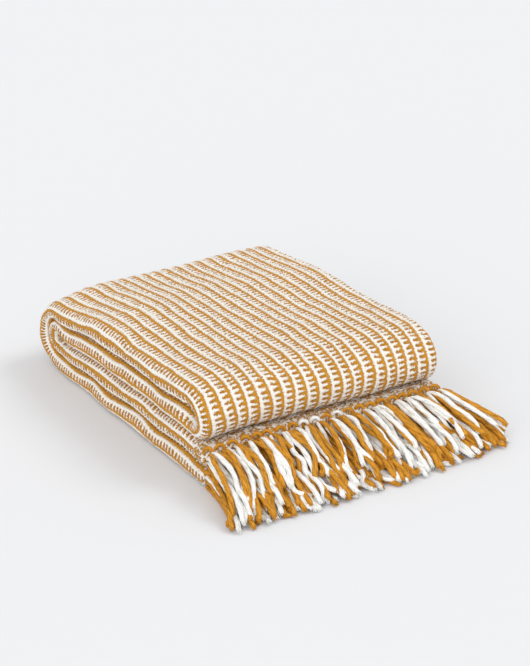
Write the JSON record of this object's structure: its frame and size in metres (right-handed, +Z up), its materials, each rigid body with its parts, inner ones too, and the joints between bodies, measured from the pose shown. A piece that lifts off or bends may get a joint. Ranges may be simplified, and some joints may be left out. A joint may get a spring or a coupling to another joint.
{
  "type": "throw blanket",
  "caption": "Chunky two-colour woven throw folded into four leaves that open like a book, with soft tassels along the front edge.",
  "frame": {"origin": "middle of the underside of the whole box, on the surface that the throw lies on", "axes": "+X along the fringed edge, -Y towards the fringe (the front), +Y towards the back fold, +Z up"},
  "size_m": [0.4144, 0.527, 0.1043],
  "materials": {
    "woven_cloth": "chunky woven ladder rib in ochre and cream yarn",
    "fringe_yarn": "soft thick single yarns in ochre and cream, with blunt frayed ends",
    "edge_yarn": "ochre yarn looped along the edge"
  },
  "bodies": {
    "lower_half": {"bottom_leaf": "woven_cloth", "middle_lower_leaf": "woven_cloth", "back_wrap_lower": "woven_cloth", "back_fold_lower": "woven_cloth", "edge_cord": "edge_yarn", "lower_fringe_1": "fringe_yarn", "lower_fringe_2": "fringe_yarn", "lower_fringe_3": "fringe_yarn", "lower_fringe_4": "fringe_yarn", "upper_fringe_1": "fringe_yarn", "upper_fringe_2": "fringe_yarn", "upper_fringe_3": "fringe_yarn"},
    "upper_half": {"middle_upper_leaf": "woven_cloth", "top_leaf": "woven_cloth", "back_wrap_upper": "woven_cloth", "back_fold_upper": "woven_cloth", "front_curl": "woven_cloth"},
    "tassel_01": {"tassel_01": "fringe_yarn"},
    "tassel_02": {"tassel_02": "fringe_yarn"},
    "tassel_03": {"tassel_03": "fringe_yarn"},
    "tassel_04": {"tassel_04": "fringe_yarn"},
    "tassel_05": {"tassel_05": "fringe_yarn"},
    "tassel_06": {"tassel_06": "fringe_yarn"},
    "tassel_07": {"tassel_07": "fringe_yarn"},
    "tassel_08": {"tassel_08": "fringe_yarn"},
    "tassel_09": {"tassel_09": "fringe_yarn"},
    "tassel_10": {"tassel_10": "fringe_yarn"},
    "tassel_11": {"tassel_11": "fringe_yarn"},
    "tassel_12": {"tassel_12": "fringe_yarn"},
    "tassel_13": {"tassel_13": "fringe_yarn"},
    "tassel_14": {"tassel_14": "fringe_yarn"},
    "tassel_15": {"tassel_15": "fringe_yarn"},
    "tassel_16": {"tassel_16": "fringe_yarn"},
    "tassel_17": {"tassel_17": "fringe_yarn"},
    "tassel_18": {"tassel_18": "fringe_yarn"},
    "tassel_19": {"tassel_19": "fringe_yarn"},
    "tassel_20": {"tassel_20": "fringe_yarn"},
    "tassel_21": {"tassel_21": "fringe_yarn"}
  },
  "joints": [
    {"name": "throw_open", "type": "hinge", "parent": "lower_half", "child": "upper_half", "pos_m": [-0.009, 0.2635, 0.05215], "axis": [-1, 0, 0], "range_deg": [0, 180]},
    {"name": "tassel_01_lift", "type": "hinge", "parent": "lower_half", "child": "tassel_01", "pos_m": [-0.1635, -0.1742, 0.04875], "axis": [-1, 0, 0], "range_deg": [0, 80]},
    {"name": "tassel_02_lift", "type": "hinge", "parent": "lower_half", "child": "tassel_02", "pos_m": [-0.14805, -0.1742, 0.04875], "axis": [-1, 0, 0], "range_deg": [0, 80]},
    {"name": "tassel_03_lift", "type": "hinge", "parent": "lower_half", "child": "tassel_03", "pos_m": [-0.1326, -0.1742, 0.04875], "axis": [-1, 0, 0], "range_deg": [0, 80]},
    {"name": "tassel_04_lift", "type": "hinge", "parent": "lower_half", "child": "tassel_04", "pos_m": [-0.11715, -0.1742, 0.04875], "axis": [-1, 0, 0], "range_deg": [0, 80]},
    {"name": "tassel_05_lift", "type": "hinge", "parent": "lower_half", "child": "tassel_05", "pos_m": [-0.1017, -0.1742, 0.04875], "axis": [-1, 0, 0], "range_deg": [0, 80]},
    {"name": "tassel_06_lift", "type": "hinge", "parent": "lower_half", "child": "tassel_06", "pos_m": [-0.08625, -0.1742, 0.04875], "axis": [-1, 0, 0], "range_deg": [0, 80]},
    {"name": "tassel_07_lift", "type": "hinge", "parent": "lower_half", "child": "tassel_07", "pos_m": [-0.0708, -0.1742, 0.04875], "axis": [-1, 0, 0], "range_deg": [0, 80]},
    {"name": "tassel_08_lift", "type": "hinge", "parent": "lower_half", "child": "tassel_08", "pos_m": [-0.05535, -0.1742, 0.04875], "axis": [-1, 0, 0], "range_deg": [0, 80]},
    {"name": "tassel_09_lift", "type": "hinge", "parent": "lower_half", "child": "tassel_09", "pos_m": [-0.0399, -0.1742, 0.04875], "axis": [-1, 0, 0], "range_deg": [0, 80]},
    {"name": "tassel_10_lift", "type": "hinge", "parent": "lower_half", "child": "tassel_10", "pos_m": [-0.02445, -0.1742, 0.04875], "axis": [-1, 0, 0], "range_deg": [0, 80]},
    {"name": "tassel_11_lift", "type": "hinge", "parent": "lower_half", "child": "tassel_11", "pos_m": [-0.009, -0.1742, 0.04875], "axis": [-1, 0, 0], "range_deg": [0, 80]},
    {"name": "tassel_12_lift", "type": "hinge", "parent": "lower_half", "child": "tassel_12", "pos_m": [0.00645, -0.1742, 0.04875], "axis": [-1, 0, 0], "range_deg": [0, 80]},
    {"name": "tassel_13_lift", "type": "hinge", "parent": "lower_half", "child": "tassel_13", "pos_m": [0.0219, -0.1742, 0.04875], "axis": [-1, 0, 0], "range_deg": [0, 80]},
    {"name": "tassel_14_lift", "type": "hinge", "parent": "lower_half", "child": "tassel_14", "pos_m": [0.03735, -0.1742, 0.04875], "axis": [-1, 0, 0], "range_deg": [0, 80]},
    {"name": "tassel_15_lift", "type": "hinge", "parent": "lower_half", "child": "tassel_15", "pos_m": [0.0528, -0.1742, 0.04875], "axis": [-1, 0, 0], "range_deg": [0, 80]},
    {"name": "tassel_16_lift", "type": "hinge", "parent": "lower_half", "child": "tassel_16", "pos_m": [0.06825, -0.1742, 0.04875], "axis": [-1, 0, 0], "range_deg": [0, 80]},
    {"name": "tassel_17_lift", "type": "hinge", "parent": "lower_half", "child": "tassel_17", "pos_m": [0.0837, -0.1742, 0.04875], "axis": [-1, 0, 0], "range_deg": [0, 80]},
    {"name": "tassel_18_lift", "type": "hinge", "parent": "lower_half", "child": "tassel_18", "pos_m": [0.09915, -0.1742, 0.04875], "axis": [-1, 0, 0], "range_deg": [0, 80]},
    {"name": "tassel_19_lift", "type": "hinge", "parent": "lower_half", "child": "tassel_19", "pos_m": [0.1146, -0.1742, 0.04875], "axis": [-1, 0, 0], "range_deg": [0, 80]},
    {"name": "tassel_20_lift", "type": "hinge", "parent": "lower_half", "child": "tassel_20", "pos_m": [0.13005, -0.1742, 0.04875], "axis": [-1, 0, 0], "range_deg": [0, 80]},
    {"name": "tassel_21_lift", "type": "hinge", "parent": "lower_half", "child": "tassel_21", "pos_m": [0.1455, -0.1742, 0.04875], "axis": [-1, 0, 0], "range_deg": [0, 80]}
  ]
}
